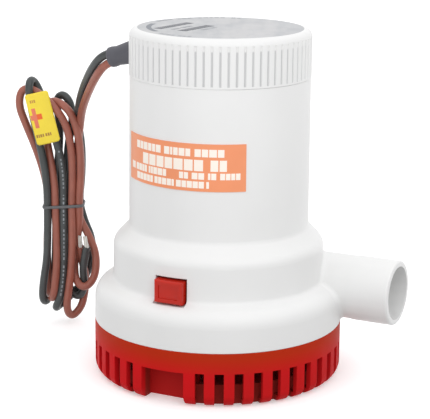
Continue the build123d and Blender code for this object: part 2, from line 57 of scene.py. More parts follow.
# ---------------------------------------------------------------- camera


SENSOR_WIDTH, LENS = 36.0, 132.65
CAMERA_PLACE = Vector((0.0, -0.69104, 0.24515))
CAMERA_RIGHT = Vector((0.99994259, 0.00487603, 0.00954157))
CAMERA_UP = Vector((-0.0104351, 0.24083312, 0.97051044))
CAMERA_WAY = Vector((-0.00243431, 0.97055429, -0.24087017))


def make_camera():
    data = bpy.data.cameras.new("camera")
    data.sensor_width = SENSOR_WIDTH
    data.lens = LENS
    data.clip_start = 0.05
    data.clip_end = 50.0
    camera = bpy.data.objects.new("camera", data)
    bpy.context.scene.collection.objects.link(camera)
    turn = Matrix((CAMERA_RIGHT, CAMERA_UP, -CAMERA_WAY)).transposed()
    camera.matrix_world = Matrix.Translation(CAMERA_PLACE) @ turn.to_4x4()
    bpy.context.scene.camera = camera


make_camera()

# ---------------------------------------------------------------- shader helpers


class Shader:
    """A small wrapper that makes a Principled material's node tree."""

    def __init__(self, name, color, roughness, **sockets):
        self.name = name
        self.material = bpy.data.materials.new(f"look_{name}")
        self.material.use_nodes = True
        self.tree = self.material.node_tree
        self.bsdf = self.tree.nodes["Principled BSDF"]
        self.bsdf.inputs["Base Color"].default_value = (*color, 1.0)
        self.bsdf.inputs["Roughness"].default_value = roughness
        for key, value in sockets.items():
            self.bsdf.inputs[key.replace("_", " ")].default_value = value
        self.color = color
        self.roughness = roughness
        self.position = self.node("ShaderNodeTexCoord").outputs["Object"]

    def node(self, kind, **settings):
        made = self.tree.nodes.new(kind)
        for key, value in settings.items():
            setattr(made, key, value)
        return made

    def link(self, source, target):
        self.tree.links.new(source, target)

    def math(self, operation, a, b=None, clamp=False):
        made = self.node("ShaderNodeMath", operation=operation, use_clamp=clamp)
        for socket, value in zip(made.inputs, (a, b)):
            if value is None:
                continue
            if isinstance(value, (int, float)):
                socket.default_value = value
            else:
                self.link(value, socket)
        return made.outputs[0]

    def stretched(self, scale):
        mapping = self.node("ShaderNodeMapping")
        mapping.inputs["Scale"].default_value = scale
        self.link(self.position, mapping.inputs["Vector"])
        return mapping.outputs["Vector"]

    def noise(self, scale, detail=3.0, rough=0.5, vector=None):
        made = self.node("ShaderNodeTexNoise")
        made.inputs["Scale"].default_value = scale
        made.inputs["Detail"].default_value = detail
        made.inputs["Roughness"].default_value = rough
        self.link(vector or self.position, made.inputs["Vector"])
        return made.outputs["Fac"]

    def ranged(self, value, low, high, to_low, to_high):
        made = self.node("ShaderNodeMapRange")
        for key, number in (("From Min", low), ("From Max", high), ("To Min", to_low), ("To Max", to_high)):
            made.inputs[key].default_value = number
        self.link(value, made.inputs["Value"])
        return made.outputs["Result"]

    def mix(self, share, a, b):
        made = self.node("ShaderNodeMix", data_type="RGBA")
        for socket, value in ((made.inputs[0], share), (made.inputs[6], a), (made.inputs[7], b)):
            if isinstance(value, (int, float)):
                socket.default_value = value
            elif isinstance(value, tuple):
                socket.default_value = (*value[:3], 1.0)
            else:
                self.link(value, socket)
        return made.outputs[2]

    def mottle(self, scale, amount):
        """Uneven colour: the base colour gets up to this share darker and lighter."""
        field = self.noise(scale, 4.0, 0.55)
        low = tuple(c * (1 - amount) for c in self.color)
        high = tuple(min(1.0, c * (1 + amount)) for c in self.color)
        share = self.ranged(field, 0.3, 0.7, 0.0, 1.0)
        self.paint(self.mix(share, low, high))

    def paint(self, color):
        self.link(color, self.bsdf.inputs["Base Color"])

    def uneven_gloss(self, scale, amount):
        field = self.noise(scale, 3.0)
        low, high = self.roughness - amount, self.roughness + amount
        self.link(self.ranged(field, 0.3, 0.7, low, high), self.bsdf.inputs["Roughness"])

    def bump(self, height, strength, distance):
        made = self.node("ShaderNodeBump")
        made.inputs["Strength"].default_value = strength
        made.inputs["Distance"].default_value = distance
        self.link(height, made.inputs["Height"])
        if self.bsdf.inputs["Normal"].is_linked:
            self.link(self.bsdf.inputs["Normal"].links[0].from_socket, made.inputs["Normal"])
        self.link(made.outputs["Normal"], self.bsdf.inputs["Normal"])


def linear(r, g, b):
    """A screen colour, 0 to 255, as linear light."""
    shares = [c / 255 for c in (r, g, b)]
    return tuple(c / 12.92 if c <= 0.04045 else ((c + 0.055) / 1.055) ** 2.4 for c in shares)


def plastic(name, color, roughness, mottling, grain, mottle_scale=45, **sockets):
    """A moulded or painted surface: uneven colour and gloss, and a fine grain."""
    made = Shader(name, color, roughness, **sockets)
    made.mottle(mottle_scale, mottling)
    made.uneven_gloss(90, 0.04)
    made.bump(made.noise(1800, 2.0), grain, 0.00004)
    return made


def metal(name, color, roughness, along=(400, 400, 40)):
    """A metal with fine turning or drawing marks along one direction."""
    made = Shader(name, color, roughness, Metallic=1.0)
    made.mottle(120, 0.05)
    marks = made.noise(6, 4.0, 0.6, made.stretched(along))
    uneven = made.ranged(marks, 0.3, 0.7, roughness - 0.08, roughness + 0.1)
    made.link(uneven, made.bsdf.inputs["Roughness"])
    made.bump(marks, 0.08, 0.00003)
    return made


# ---------------------------------------------------------------- materials

WHITE = linear(233, 233, 232)
RED = linear(214, 24, 30)
TAB_RED = linear(190, 32, 14)
ORANGE = linear(241, 151, 106)
YELLOW = linear(250, 224, 62)

# Where paint changes, as a start and an end: metres from the axis or above the base's underside.
# GROOVE_DEPTH and GROOVE_TOP bound the painted shade in the cap's grooves.
GROOVE_DEPTH = (0.04005, 0.03975)
GROOVE_TOP = (0.1508, 0.1500)
BAND_FOOT = (0.014, 0.022)
# SLOT_DEPTH and NICHE_DEPTH bound the painted shade inside the strainer's slots.
SLOT_DEPTH = (0.0532, 0.0515)
NICHE_DEPTH = (0.0485, 0.0475)

# CAD nodes that do not look like their slot in the record.
NODE_LOOKS = {
    "release_tab_front": "tab_red",
    "release_tab_rear": "tab_red",
    "top_cap": "cap_white",
    "lead_hank": "wire_black",
}

materials = {}


def keep(shader):
    materials[shader.name] = shader.material
    return shader


def radius_and_height(shader):
    """How far a point is from the axis and how high it is."""
    split = shader.node("ShaderNodeSeparateXYZ")
    shader.link(shader.position, split.inputs[0])
    x, y, z = split.outputs
    squares = shader.math("ADD", shader.math("MULTIPLY", x, x), shader.math("MULTIPLY", y, y))
    return shader.math("SQRT", squares), z


def make_materials():
    keep(plastic("white_housing", WHITE, 0.42, 0.012, 0.03, Specular_IOR_Level=0.35))
    cap = keep(plastic("cap_white", WHITE, 0.42, 0.012, 0.03, Specular_IOR_Level=0.35))
    around, z = radius_and_height(cap)
    # painted shade: below GROOVE_TOP and inside GROOVE_DEPTH the cap's grooves get half a grey in place of
    # their shadow
    deep = cap.ranged(around, *GROOVE_DEPTH, 0.0, 0.5)
    groove_shade = cap.math("MULTIPLY", deep, cap.ranged(z, *GROOVE_TOP, 0.0, 1.0))
    cap.paint(cap.mix(groove_shade, WHITE, linear(150, 152, 155)))
    strainer = keep(plastic("strainer_red", RED, 0.5, 0.10, 0.03, Specular_IOR_Level=0.05))
    flow = strainer.noise(14, 3.0, 0.5, strainer.stretched((1, 1, 3)))
    body = strainer.mix(strainer.ranged(flow, 0.35, 0.75, 0.0, 0.5), RED, linear(170, 34, 30))
    around, z = radius_and_height(strainer)
    band = strainer.mix(strainer.ranged(z, *BAND_FOOT, 0.0, 0.85), body, linear(182, 50, 18))
    # painted shade: from 53.2 mm inward the strainer's red is darkened towards a deep red in place of the
    # shadow in its slots; past 48.5 mm it eases off to 38 %
    slot_shade = strainer.ranged(around, *SLOT_DEPTH, 0.0, 1.0)
    niche = strainer.ranged(around, *NICHE_DEPTH, 0.0, 0.62)
    hidden = strainer.math("SUBTRACT", slot_shade, niche, clamp=True)
    strainer.paint(strainer.mix(hidden, band, linear(146, 40, 34)))
    keep(plastic("tab_red", TAB_RED, 0.3, 0.08, 0.03, Specular_IOR_Level=0.3))
    keep(plastic("volute_plastic", linear(206, 208, 206), 0.45, 0.03, 0.05))
    badge = keep(plastic("badge_grey", linear(205, 207, 209), 0.38, 0.02, 0.03))
    streaks = badge.noise(3, 3.0, 0.5, badge.stretched((50, 14, 1)))
    share = badge.ranged(streaks, 0.4, 0.62, 0.0, 1.0)
    badge.paint(badge.mix(share, linear(168, 170, 173), linear(183, 183, 184)))
    keep(plastic("label_orange", ORANGE, 0.4, 0.03, 0.02, Specular_IOR_Level=0.4))
    keep(plastic("print_white", linear(255, 244, 232), 0.5, 0.02, 0.02))
    keep(plastic("print_dark", linear(88, 92, 98), 0.5, 0.08, 0.02))
    keep(plastic("print_mid", linear(116, 121, 128), 0.5, 0.08, 0.02))
    keep(plastic("print_faint", linear(150, 152, 157), 0.5, 0.08, 0.02))
    keep(plastic("wire_mark", linear(150, 156, 160), 0.5, 0.25, 0.02))
    keep(plastic("grommet_rubber", linear(84, 84, 91), 0.55, 0.06, 0.12))
    keep(plastic("seal_rubber", linear(34, 34, 36), 0.6, 0.06, 0.12))
    keep(plastic("card_plastic", linear(96, 62, 38), 0.5, 0.1, 0.06))
    keep(plastic("carbon", linear(42, 42, 44), 0.65, 0.15, 0.2))
    keep(plastic("ferrite", linear(66, 66, 70), 0.6, 0.1, 0.2))
    keep(plastic("component_blue", linear(38, 84, 150), 0.35, 0.05, 0.04))
    keep(metal("stainless", linear(200, 200, 202), 0.28))
    keep(metal("can_steel", linear(176, 178, 182), 0.34, (30, 30, 400)))
    keep(metal("lamination", linear(120, 120, 124), 0.45, (20, 20, 4000)))
    keep(metal("copper", linear(214, 128, 84), 0.3, (60, 60, 900)))
    keep(metal("brass", linear(212, 176, 96), 0.3))
    keep(metal("tinned_copper", linear(214, 212, 206), 0.36))
    for name, color in (("wire_brown", linear(158, 92, 76)), ("wire_black", linear(62, 66, 66))):
        keep(plastic(name, color, 0.38, 0.10, 0.06, mottle_scale=160, Specular_IOR_Level=0.5))
    keep(plastic("tag_yellow", YELLOW, 0.4, 0.05, 0.04, mottle_scale=90))
    keep(plastic("tag_red", linear(232, 126, 96), 0.45, 0.10, 0.02))
    keep(plastic("tag_deep", linear(238, 104, 36), 0.45, 0.08, 0.02))
    keep(plastic("tag_mark", linear(188, 140, 62), 0.5, 0.2, 0.02))
    keep(plastic("tie_grey", linear(96, 98, 100), 0.4, 0.08, 0.05))


make_materials()


def dress(obj, material):
    obj.data.materials.clear()
    obj.data.materials.append(materials[material])


def dress_cad_nodes():
    """Gives each CAD node its own look, or else that of its slot in the record."""
    for entry in frame["record"]["subparts"]:
        name = entry["node"]
        dress(NODES[name], NODE_LOOKS.get(name, entry["material_slot"]))


dress_cad_nodes()

# ---------------------------------------------------------------- mesh helpers


def finish_piece(obj, body, material, smooth=True):
    """Gives a piece its look and the body that it rides on."""
    dress(obj, material)
    if smooth and obj.type == "MESH":
        for face in obj.data.polygons:
            face.use_smooth = True
    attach(obj, body)
    return obj


def mesh_object(name, vertices, faces):
    data = bpy.data.meshes.new(name)
    data.from_pydata([tuple(v) for v in vertices], [], faces)
    data.update()
    obj = bpy.data.objects.new(name, data)
    bpy.context.scene.collection.objects.link(obj)
    return obj


SUNK = -0.05  # mm, the height of a slab's hidden underside from its surface


def slabs(name, surface, blocks, thickness, cell):
    """Thin closed slabs on a surface, cut into cells along u. A block is u from, u to, v from, v to.

    surface(u, v, lift) gives the point in metres. u, v, lift, thickness and cell are in mm.
    """
    vertices, faces = [], []
    for u0, u1, v0, v1 in blocks:
        columns = max(1, math.ceil((u1 - u0) / cell))
        base = len(vertices)
        for lift in (thickness, SUNK):
            for i in range(columns + 1):
                u = u0 + (u1 - u0) * i / columns
                vertices += [surface(u, v0, lift), surface(u, v1, lift)]
        row = 2 * (columns + 1)
        for i in range(columns):
            a = base + 2 * i
            faces.append((a, a + 2, a + 3, a + 1))
            b = a + row
            faces.append((b, b + 1, b + 3, b + 2))
            faces.append((a, b, b + 2, a + 2))
            faces.append((a + 1, a + 3, b + 3, b + 1))
        a, b = base, base + row
        faces.append((a, a + 1, b + 1, b))
        a, b = base + row - 2, base + 2 * row - 2
        faces.append((a, b, b + 1, a + 1))
    return mesh_object(name, vertices, faces)


def blank_words(u, v0, v1, words, letter, gap, space):
    """A row of blank blocks: each word is a run of letter-wide blocks with hairline gaps."""
    blocks = []
    for word in words:
        for share in word:
            blocks.append((u, u + letter * share, v0, v1))
            u += letter * share + gap
        u += space
    return blocks


# ---------------------------------------------------------------- cords

WIRE_R = 1.9
HANK = Vector((-75.8, 62.0, 59.7))  # mm, the middle of the tie

# Both wires' routes from the grommet to the hank, as in the CAD source, in mm.
BROWN_EXIT = (-49.27, 17.94, 137.31)
BROWN_ROUTE = [
    (-53.2, 20.6, 134.6),
    (-56.9, 26.0, 129.0),
    (-60.0, 34.0, 122.8),
    (-63.0, 43.0, 116.0),
    (-65.8, 52.8, 108.2),
    (-67.4, 60.0, 99.6),
]
BLACK_EXIT = (-50.30, 18.30, 141.05)
BLACK_ROUTE = [
    (-54.6, 21.2, 138.6),
    (-58.6, 26.8, 133.0),
    (-61.8, 35.2, 126.6),
    (-64.8, 44.8, 119.4),
    (-67.4, 55.2, 110.6),
    (-68.6, 63.0, 101.2),
]
GROMMET_WAY = Vector((-0.9033, 0.3288, -0.2756))
ROOT = 2.0  # mm of wire inside the grommet

# The folds of each wire in the hank: sideways, towards the viewer, and up from the tie, in mm.
BROWN_FOLDS = [
    # down the back, and out round the big right-hand bulge
    (6.6, -0.6, 26), (6.0, -1.8, 12), (5.9, -1.8, 0), (7.6, -2.2, -8),
    (11.7, -1.2, -15), (15.8, 0.8, -24.5), (15.3, 2.6, -35.5), (10.4, 3.6, -41.4), (5.6, 2.4, -38.6),
    (4.4, -1.2, -30), (6.0, -1.0, -18), (7.6, 0.6, -8),
    # up the front's right edge, and over the top
    (7.5, 1.7, 2), (8.4, 2.4, 13), (8.8, 3.6, 24), (7.9, 4.4, 36), (4.6, 4.8, 47), (-1.4, 3.0, 51.8),
    (-6.6, -2.4, 51.2), (-9.8, -4.4, 43), (-8.2, -3.2, 31), (-5.8, -0.4, 20), (-4.3, 1.3, 10),
    # down the front, left of the middle, and under
    (-4.1, 1.7, 0), (-3.9, 1.9, -12), (-3.5, 3.2, -25), (-4.0, 4.8, -35), (-5.2, 4.9, -44.4),
    (-6.6, 1.2, -47.8), (-8.2, -3.0, -44.2), (-8.8, -3.2, -34), (-9.0, -2.4, -21), (-8.2, -1.8, -8),
    # up the back's left edge, and round the big left-hand loop
    (-7.8, -1.9, 3), (-9.2, -1.9, 14), (-13.0, -1.7, 27), (-18.0, -0.6, 40), (-21.4, -0.2, 49.6),
    (-19.6, -0.4, 57.6), (-13.4, 0.6, 57.2), (-5.0, 4.6, 51.4), (1.9, 4.9, 42), (4.4, 3.6, 29),
    (4.6, 2.2, 14),
    # down the front, right of the middle, to the lowest fold and up to the bare end
    (3.9, 1.7, 1), (4.0, 2.0, -12), (3.9, 3.0, -26), (2.6, 4.4, -39), (0.8, 5.2, -51.5), (3.4, 2.4, -56.6),
    (7.8, -0.8, -52.5), (9.4, -2.4, -46), (10.2, -2.8, -37), (8.4, -2.2, -29.5), (7.8, -0.4, -25),
    (7.9, 1.3, -20.6),
]
BLACK_FOLDS = [
    # down the back's right edge, behind the bulge, to the middle fold
    (8.8, -4.8, 28), (8.4, -5.4, 13), (6.9, -5.6, 1), (9.4, -5.4, -9), (13.2, -5.4, -18),
    (13.4, -6.0, -29), (8.2, -5.4, -41), (1.4, -4.6, -48.5), (-3.6, -1.6, -52.2), (-4.8, 2.4, -52.0),
    (-2.0, 4.4, -46), (-0.2, 3.6, -33), (-0.1, 2.3, -16),
    # up the front's middle, and round the narrow fold at the top left
    (-0.2, 1.7, 0), (0.1, 1.9, 12), (-0.9, 2.6, 24), (-3.8, 2.6, 35), (-7.2, 1.2, 45), (-9.8, -1.4, 52),
    (-11.9, -3.2, 57.2), (-14.2, -2.4, 61.4), (-15.6, 1.8, 61.6), (-15.7, 3.6, 56), (-14.6, 2.6, 47),
    (-12.2, 1.8, 35),
    (-9.4, 1.7, 22), (-8.0, 1.8, 10),
    # down the front's left edge, and under
    (-7.9, 1.7, 0), (-8.0, 2.2, -12), (-8.4, 2.6, -26), (-10.4, 3.0, -38), (-11.2, 2.4, -47.0),
    (-9.8, -1.6, -50.4),
    (-7.6, -5.2, -46.4), (-5.6, -5.4, -37), (-4.8, -3.6, -22), (-4.3, -2.2, -9),
    # up the back, and over the top behind the brown wire
    (-3.9, -1.9, 2), (-3.8, -2.2, 13), (-2.4, -3.2, 26), (-2.0, -5.4, 38), (-3.4, -6.2, 47.5),
    (-3.0, -5.2, 52.8), (0.4, -3.6, 54.4), (3.8, -2.6, 50), (4.6, -2.8, 41), (1.6, -3.0, 28),
    (1.8, -2.4, 12),
    # down the back to a short fold and up to the bare end
    (1.8, -1.9, 0), (1.4, -2.4, -12), (0.6, -2.2, -25), (0.8, -1.6, -37), (3.0, -0.9, -45.4),
    (7.6, -0.2, -46.8), (9.8, 0.2, -40.5), (9.0, 1.6, -33), (9.8, 3.2, -27), (11.2, 4.0, -20.2),
]


def hank_point(p):
    """A fold's sideways, front and up offsets as a point in metres."""
    side, front, up = p
    return (HANK + Vector((side, -front, up))) * MM


def wire_curve(name, leaving, route, folds, material):
    """One free wire: a smooth open NURBS spline from inside the grommet to its bare end."""
    start = Vector(leaving) - GROMMET_WAY * ROOT
    points = [start * MM, Vector(leaving) * MM]
    points += [Vector(p) * MM for p in route]
    points += [hank_point(p) for p in folds]
    data = bpy.data.curves.new(name, "CURVE")
    data.dimensions = "3D"
    data.resolution_u = 14
    data.bevel_depth = 1.0  # so that a point's radius is the wire's own, which bounds go by
    data.bevel_resolution = 6
    data.use_fill_caps = True
    spline = data.splines.new("NURBS")
    spline.points.add(len(points) - 1)
    for point, place in zip(spline.points, points):
        point.co = (*place, 1.0)
        point.radius = WIRE_R * MM
    spline.order_u = 3
    spline.use_endpoint_u = True
    obj = bpy.data.objects.new(name, data)
    bpy.context.scene.collection.objects.link(obj)
    return finish_piece(obj, "pump", material)


def centreline(curve):
    """The points of a curve's own line, in order."""
    depth = curve.data.bevel_depth
    curve.data.bevel_depth = 0.0
    bpy.context.view_layer.update()
    evaluated = curve.evaluated_get(bpy.context.evaluated_depsgraph_get())
    mesh = bpy.data.meshes.new_from_object(evaluated)
    line = [v.co.copy() for v in mesh.vertices]
    bpy.data.meshes.remove(mesh)
    curve.data.bevel_depth = depth
    return line


brown = wire_curve("wire_brown", BROWN_EXIT, BROWN_ROUTE, BROWN_FOLDS, "wire_brown")
black = wire_curve("wire_black", BLACK_EXIT, BLACK_ROUTE, BLACK_FOLDS, "wire_black")
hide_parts("lead_brown", "lead_hank")
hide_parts("lead_black")


brown_line = centreline(brown)
black_line = centreline(black)

# ---------------------------------------------------------------- tie, bare ends


REACH_X, REACH_Y = 20, 10  # mm each way from the hank's middle in which its strands lie
TIE_GAP = 0.05
TIE_STEPS = 24  # points round each strand
TIE_CELL = 0.8
TIE_SLOPE = 0.055  # how much the band rises to the right
TIE_SECTION = [(0.0, -0.75), (0.45, -0.7), (0.62, -0.3), (0.62, 0.3), (0.45, 0.7), (0.0, 0.75)]


def hull(points):
    """The convex outline of points in a plane, anticlockwise."""
    points = sorted(set(points))

    def half(run):
        out = []
        for p in run:
            while len(out) > 1:
                (ax, ay), (bx, by) = out[-2], out[-1]
                if (bx - ax) * (p[1] - ay) - (by - ay) * (p[0] - ax) > 0:
                    break
                out.pop()
            out.append(p)
        return out[:-1]

    return half(points) + half(points[::-1])


def strands_at(lines, height):
    """Where wires cross a height, as sideways and front offsets from the hank's middle, in mm."""
    found = []
    for line in lines:
        for a, b in zip(line, line[1:]):
            if (a.z - height) * (b.z - height) <= 0 and a.z != b.z:
                cut = a.lerp(b, (height - a.z) / (b.z - a.z)) / MM - HANK
                if abs(cut.x) < REACH_X and abs(cut.y) < REACH_Y:
                    found.append((cut.x, cut.y))
    return found


def make_tie():
    """A thin band drawn tight round the strands, a little higher at its right."""
    reach = WIRE_R + TIE_GAP
    centres = strands_at((brown_line, black_line), HANK.z * MM)
    rim = []
    for x, y in centres:
        for k in range(TIE_STEPS):
            turn = math.tau * k / TIE_STEPS
            rim.append((x + reach * math.cos(turn), y + reach * math.sin(turn)))
    outline = [Vector((x, y)) for x, y in hull(rim)]
    dense = []
    for a, b in zip(outline, outline[1:] + outline[:1]):
        steps = max(1, math.ceil((b - a).length / TIE_CELL))
        dense += [a.lerp(b, i / steps) for i in range(steps)]
    count = len(dense)
    vertices, faces = [], []
    for i, p in enumerate(dense):
        ahead = (dense[(i + 1) % count] - dense[i - 1]).normalized()
        out = Vector((ahead.y, -ahead.x))
        rise = TIE_SLOPE * p.x
        for off, up in TIE_SECTION:
            spot = p + out * off
            vertices.append((HANK + Vector((spot.x, spot.y, rise + up))) * MM)
    size = len(TIE_SECTION)
    for i in range(count):
        j = (i + 1) % count
        for k in range(size):
            m = (k + 1) % size
            faces.append((i * size + k, j * size + k, j * size + m, i * size + m))
    tie = mesh_object("tie_band", vertices, faces)
    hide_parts("hank_tie")
    return finish_piece(tie, "pump", "tie_grey")


tie = make_tie()


BARE_LENGTH = 6.4
BARE_ROOT = 0.6  # mm of the strands inside the insulation
STRAND_R = 0.4
STRAND_SPREAD = 0.74  # from the middle strand's line to the six others'
STRAND_TWIST = 1.1  # radians over the whole length
STRAND_CLOSING = 0.22
STRAND_UNEVEN = 0.07
TIP_SHARE = 0.06  # the last part of a strand, which is rounded


def make_bare_end(name, line, node):
    """Seven tinned strands, lightly twisted, that stand out of the insulation."""
    low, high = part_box(node)
    base = line[-1]
    way = Vector(((high.x + low.x) / 2, (high.y + low.y) / 2, high.z)) - base
    way.normalize()
    length = BARE_LENGTH * MM
    across = way.cross(Vector((0, 1, 0))).normalized()
    over = way.cross(across)
    vertices, faces = [], []
    rings, sides = 14, 8
    for strand in range(7):
        angle = math.tau * strand / 6
        spread = 0.0 if strand == 6 else STRAND_SPREAD
        reach = length * (1.0 - STRAND_UNEVEN * ((strand * 3) % 5) / 4)
        first = len(vertices)
        for i in range(rings + 1):
            share = i / rings
            turn = angle + STRAND_TWIST * share
            wide = spread * (1.0 - STRAND_CLOSING * share**3)
            centre = base + way * (reach * share - BARE_ROOT * MM)
            centre += (across * math.cos(turn) + over * math.sin(turn)) * wide * MM
            tip = max(0.0, (share - 1.0 + TIP_SHARE) / TIP_SHARE)
            radius = STRAND_R * math.sqrt(max(0.04, 1.0 - tip**2))
            for k in range(sides):
                around = math.tau * k / sides
                spot = centre + (across * math.cos(around) + over * math.sin(around)) * radius * MM
                vertices.append(spot)
        for i in range(rings):
            for k in range(sides):
                m = (k + 1) % sides
                a, b = first + i * sides, first + (i + 1) * sides
                faces.append((a + k, a + m, b + m, b + k))
        faces.append(tuple(first + k for k in range(sides))[::-1])
        faces.append(tuple(first + rings * sides + k for k in range(sides)))
    end = mesh_object(name, vertices, faces)
    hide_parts(node)
    return finish_piece(end, "pump", "tinned_copper")


brown_end = make_bare_end("strands_brown", brown_line, "bare_end_brown")
black_end = make_bare_end("strands_black", black_line, "bare_end_black")

# ---------------------------------------------------------------- polarity tag

TAG_CENTRE = Vector((-84.9, 54.9, 104.2))
TAG_W, TAG_H, TAG_THICK = 11.4, 25.2, 0.6
TAG_LEAN = math.radians(13.5)
TAG_CORNER = 0.9
TAG_SET_BACK = 0.35
TAG_BOW = 0.018  # per mm, from side to side
TAG_BEND_V = -4  # the height at which the card begins to curl back
TAG_CURL_BELOW, TAG_CURL_ABOVE = 0.00096, 0.00036  # per mm


def tag_point(u, v, lift):
    """A point of the tag's front. u and v are mm from its middle, lift is towards the viewer."""
    bow = TAG_BOW * u * u
    curl = (TAG_CURL_BELOW if v < TAG_BEND_V else TAG_CURL_ABOVE) * (v - TAG_BEND_V) ** 2
    local = Vector((u, -lift + bow - TAG_SET_BACK + curl, v))
    return (TAG_CENTRE + Matrix.Rotation(-TAG_LEAN, 3, "Y") @ local) * MM


def make_tag():
    """The card with round corners, and the plus sign and blank rows on its front."""
    columns, rows, corner = 14, 28, TAG_CORNER
    vertices, faces = [], []
    for lift in (TAG_THICK / 2, -TAG_THICK / 2):
        for j in range(rows + 1):
            v = TAG_H * (j / rows - 0.5)
            inset = max(0.0, corner - (TAG_H / 2 - abs(v)))
            half = TAG_W / 2 - corner + math.sqrt(max(0.0, corner**2 - inset**2))
            for i in range(columns + 1):
                u = 2 * half * (i / columns - 0.5)
                vertices.append(tag_point(u, v, lift))
    row, side = columns + 1, (columns + 1) * (rows + 1)
    for j in range(rows):
        for i in range(columns):
            a = j * row + i
            faces.append((a, a + 1, a + row + 1, a + row))
            b = a + side
            faces.append((b, b + row, b + row + 1, b + 1))
    for j in range(rows):
        a = j * row
        faces.append((a, a + row, a + row + side, a + side))
        a += columns
        faces.append((a, a + side, a + row + side, a + row))
    for i in range(columns):
        faces.append((i, i + side, i + 1 + side, i + 1))
        a = rows * row + i
        faces.append((a, a + 1, a + 1 + side, a + side))
    tag = mesh_object("tag_card", vertices, faces)
    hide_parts("polarity_tag")
    finish_piece(tag, "pump", "tag_yellow")
    bars = [(-4.2, -2.3, -4.2, 5.5), (-5.4, -4.2, -0.2, 2.3)]
    mark = slabs("tag_plus", tag_point, bars, TAG_THICK / 2 + 0.03, 0.8)
    finish_piece(mark, "pump", "tag_red", smooth=False)
    arm = slabs("tag_plus_arm", tag_point, [(-2.3, 0.2, -0.3, 2.4)], TAG_THICK / 2 + 0.03, 0.8)
    finish_piece(arm, "pump", "tag_deep", smooth=False)
    top = blank_words(-3.9, 8.1, 9.5, [(1, 0.8, 1)], 0.75, 0.25, 1.0)
    low = blank_words(-5.0, -8.9, -7.4, [(1, 0.7, 1, 0.8), (1, 1, 0.7)], 0.85, 0.28, 0.45)
    small = slabs("tag_marks", tag_point, top + low, TAG_THICK / 2 + 0.02, 0.8)
    finish_piece(small, "pump", "tag_mark", smooth=False)
    return tag, mark, arm, small


tag_pieces = make_tag()

# ---------------------------------------------------------------- print on the label and badge

BARREL_FOOT = (68.2, 40.3)  # height and radius in mm
BARREL_TOP = (134.7, 40.0)
LABEL_FROM = -163.0  # degrees, its left end
LABEL_LOW = 91.2
LABEL_THICK = 0.3
PRINT_THICK = 0.04


def barrel_radius(height):
    share = (height - BARREL_FOOT[0]) / (BARREL_TOP[0] - BARREL_FOOT[0])
    return BARREL_FOOT[1] + (BARREL_TOP[1] - BARREL_FOOT[1]) * share


def label_point(u, v, lift):
    """A point of the label. u is mm along it from its left end, v is mm above its lower edge."""
    height = LABEL_LOW + v
    radius = barrel_radius(height) + LABEL_THICK
    turn = math.radians(LABEL_FROM) + u / radius
    out = radius + lift
    return Vector((out * math.cos(turn), out * math.sin(turn), height)) * MM


def make_label_print():
    words = [(1, 0.8, 1, 0.8, 0.7, 1), (1, 0.4, 0.8, 1, 0.8), (1, 1, 1.2, 1)]
    blocks = blank_words(8.0, 14.9, 18.2, words, 2.72, 0.42, 1.5)
    words = [(0.9, 0.9, 0.9, 0.9, 1, 0.9, 0.9), (0.75, 0.7)]
    blocks += blank_words(13.2, 8.8, 13.6, words, 4.35, 0.6, 2.6)
    words = [(0.5, 0.9), (1, 1, 0.7, 0.7), (0.5, 0.6, 1, 1.2, 0.8)]
    blocks += blank_words(3.0, 5.2, 8.2, words, 2.2, 0.3, 1.0)
    words = [(0.9, 0.9), (1.2, 1.2), (0.5, 1), (1, 0.9, 0.8, 0.9)]
    blocks += blank_words(34.0, 5.2, 8.0, words, 2.1, 0.35, 1.3)
    words = [(1.1, 1, 1, 0.8, 0.7), (0.8, 0.8, 1, 0.9, 0.5), (1, 0.9, 1, 1, 1), (0.5,)]
    blocks += blank_words(8.2, 1.4, 4.3, words, 2.3, 0.32, 0.7)
    made = slabs("label_print", label_point, blocks, PRINT_THICK, 1.0)
    return finish_piece(made, "pump", "print_white", smooth=False)


make_label_print()

BADGE_TOP = 155.7
BADGE_TURN = math.radians(57)
RIM_R = 34.0


def badge_point(u, v, lift):
    """A point of the badge, in mm from its middle: u along its blank rows and v across them."""
    x = u * math.cos(BADGE_TURN) - v * math.sin(BADGE_TURN)
    y = u * math.sin(BADGE_TURN) + v * math.cos(BADGE_TURN)
    return Vector((x, y, BADGE_TOP + lift)) * MM


def rim_point(u, v, lift):
    """A point near the badge's rim: u is mm along RIM_R, clockwise from the back, and v is outward."""
    turn = math.radians(90) - u / RIM_R
    out = RIM_R + v
    return Vector((out * math.cos(turn), out * math.sin(turn), BADGE_TOP + lift)) * MM


def make_badge_print():
    bold = blank_words(-20.6, 17.2, 21.4, [(1, 0.8, 1, 0.9, 0.8, 1)], 3.9, 0.75, 1.0)
    bold += blank_words(-20.2, 4.6, 9.0, [(1, 0.9, 1, 1, 0.8)], 4.1, 0.75, 1.0)
    first = slabs("badge_print", badge_point, bold, PRINT_THICK, 2.0)
    finish_piece(first, "pump", "print_dark", smooth=False)
    faint = blank_words(-19.0, 11.6, 13.6, [(1, 1, 0.7), (1, 0.8, 1, 1)], 1.7, 0.5, 1.2)
    faint += blank_words(-13.0, 0.6, 2.4, [(1, 0.8, 1), (1, 1)], 1.7, 0.5, 1.2)
    second = slabs("badge_small_print", badge_point, faint, PRINT_THICK, 2.0)
    finish_piece(second, "pump", "print_faint", smooth=False)
    words = [(1, 0.8, 1, 1), (0.8, 1, 1), (1, 1, 0.7, 1, 1), (1, 0.8)]
    rim = blank_words(-34.0, -1.2, 1.0, words, 1.9, 0.9, 2.2)
    rim += blank_words(-94.0, -1.2, 0.8, [(1, 0.8, 1), (1, 1, 0.8, 1)], 1.5, 0.9, 1.2)
    third = slabs("badge_rim_print", rim_point, rim, PRINT_THICK, 2.0)
    finish_piece(third, "pump", "print_faint", smooth=False)
    arc = [(-70.6, -42.2, -3.6, -1.4)]
    fourth = slabs("badge_arc", rim_point, arc, PRINT_THICK, 1.5)
    finish_piece(fourth, "pump", "print_mid", smooth=False)


